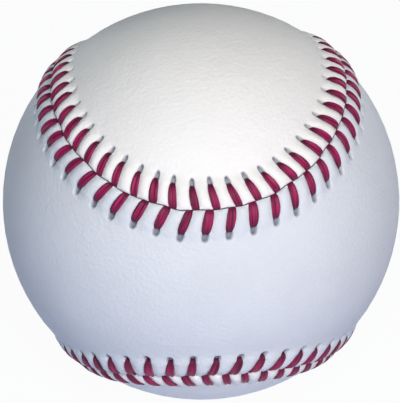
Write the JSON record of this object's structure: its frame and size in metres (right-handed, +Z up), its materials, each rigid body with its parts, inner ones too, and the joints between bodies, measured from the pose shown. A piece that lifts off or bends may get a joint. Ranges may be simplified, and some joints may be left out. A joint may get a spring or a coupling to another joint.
{
  "type": "baseball",
  "caption": "Leather-covered baseball with a raised figure-eight seam sewn in red thread over yarn windings and a cushioned cork centre.",
  "frame": {"origin": "centre of the ball", "axes": "+Z up through the middle of the first panel's upper lobe, the ball resting on that panel's other lobe; -Y out through the narrow waist of the second panel, which faces the viewer; +X across the second panel's lobes"},
  "size_m": [0.0742, 0.0742, 0.0742],
  "materials": {
    "leather": "smooth white tanned leather, faint grain",
    "thread": "waxed red cotton thread",
    "cork": "pressed cork and rubber crumb",
    "black_rubber": "moulded rubber",
    "red_rubber": "moulded rubber",
    "grey_wool": "tightly wound wool yarn",
    "white_wool": "tightly wound wool yarn",
    "cotton": "fine finishing yarn under cement"
  },
  "bodies": {
    "root": {"cork_core": "cork", "inner_rubber_cup_upper": "black_rubber", "inner_rubber_cup_lower": "black_rubber", "rubber_washer": "red_rubber", "outer_rubber_layer": "red_rubber", "first_wool_winding": "grey_wool", "second_wool_winding": "white_wool", "third_wool_winding": "grey_wool", "cotton_winding": "cotton", "cover_panel_a": "leather", "cover_panel_b": "leather", "thread_one": "thread", "thread_two": "thread"}
  },
  "joints": []
}
